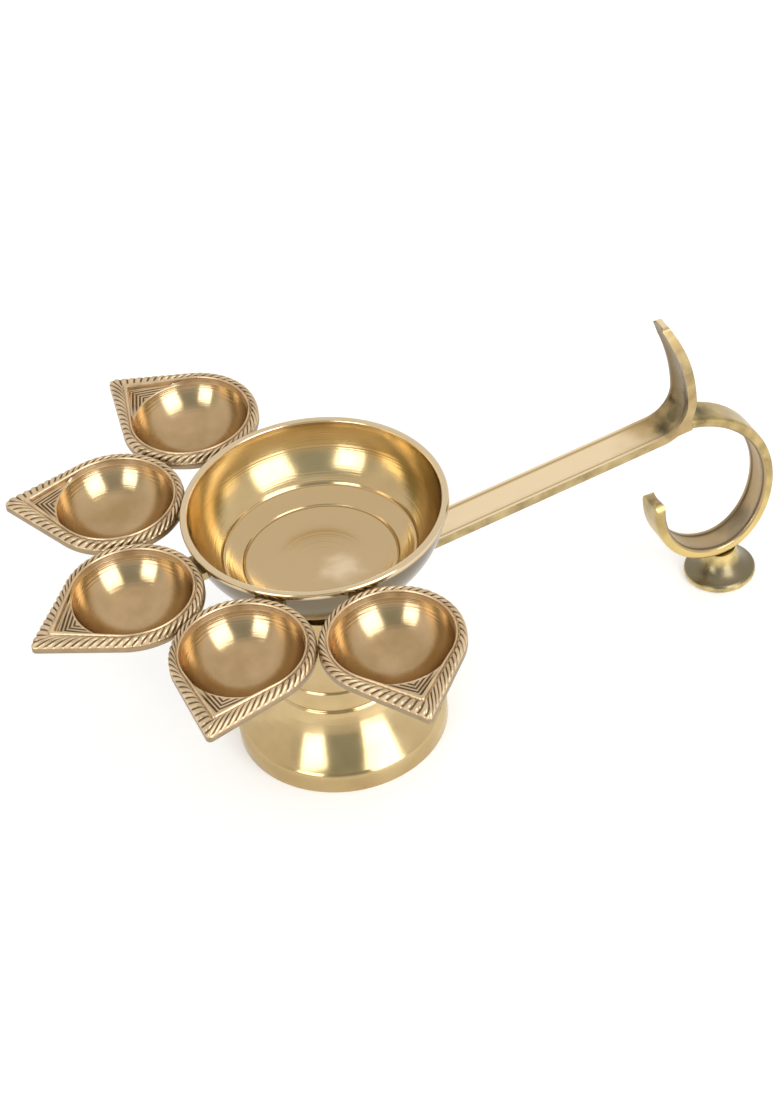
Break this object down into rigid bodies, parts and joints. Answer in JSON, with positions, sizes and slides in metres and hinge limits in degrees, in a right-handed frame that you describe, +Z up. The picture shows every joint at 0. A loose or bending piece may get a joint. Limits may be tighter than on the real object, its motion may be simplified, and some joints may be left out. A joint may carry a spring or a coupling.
{
  "type": "aarti lamp",
  "caption": "Brass aarti lamp: a round centre bowl on a trumpet pedestal, a fan of leaf-shaped wick cups with rope borders, and a bar handle with a thumb prong and finger loop.",
  "frame": {"origin": "centre of the pedestal's foot, on the table", "axes": "+Z up, +X from the pedestal along the handle to the finger loop, cups fanned out on the -X side"},
  "size_m": [0.2468, 0.1834, 0.1095],
  "materials": {
    "polished_brass": "polished, with fine turning lines",
    "cup_brass": "polished hollow, cast rope border",
    "satin_brass": "satin, hand filed",
    "fastener_brass": "machined"
  },
  "bodies": {
    "root": {"centre_bowl": "polished_brass", "pedestal": "polished_brass", "leaf_cup_1": "cup_brass", "leaf_cup_2": "cup_brass", "leaf_cup_3": "cup_brass", "leaf_cup_4": "cup_brass", "leaf_cup_5": "cup_brass", "handle_bar": "satin_brass", "finger_loop": "satin_brass", "foot_button": "satin_brass", "centre_stud": "fastener_brass", "clamp_washer": "fastener_brass", "clamp_nut": "fastener_brass"}
  },
  "joints": []
}
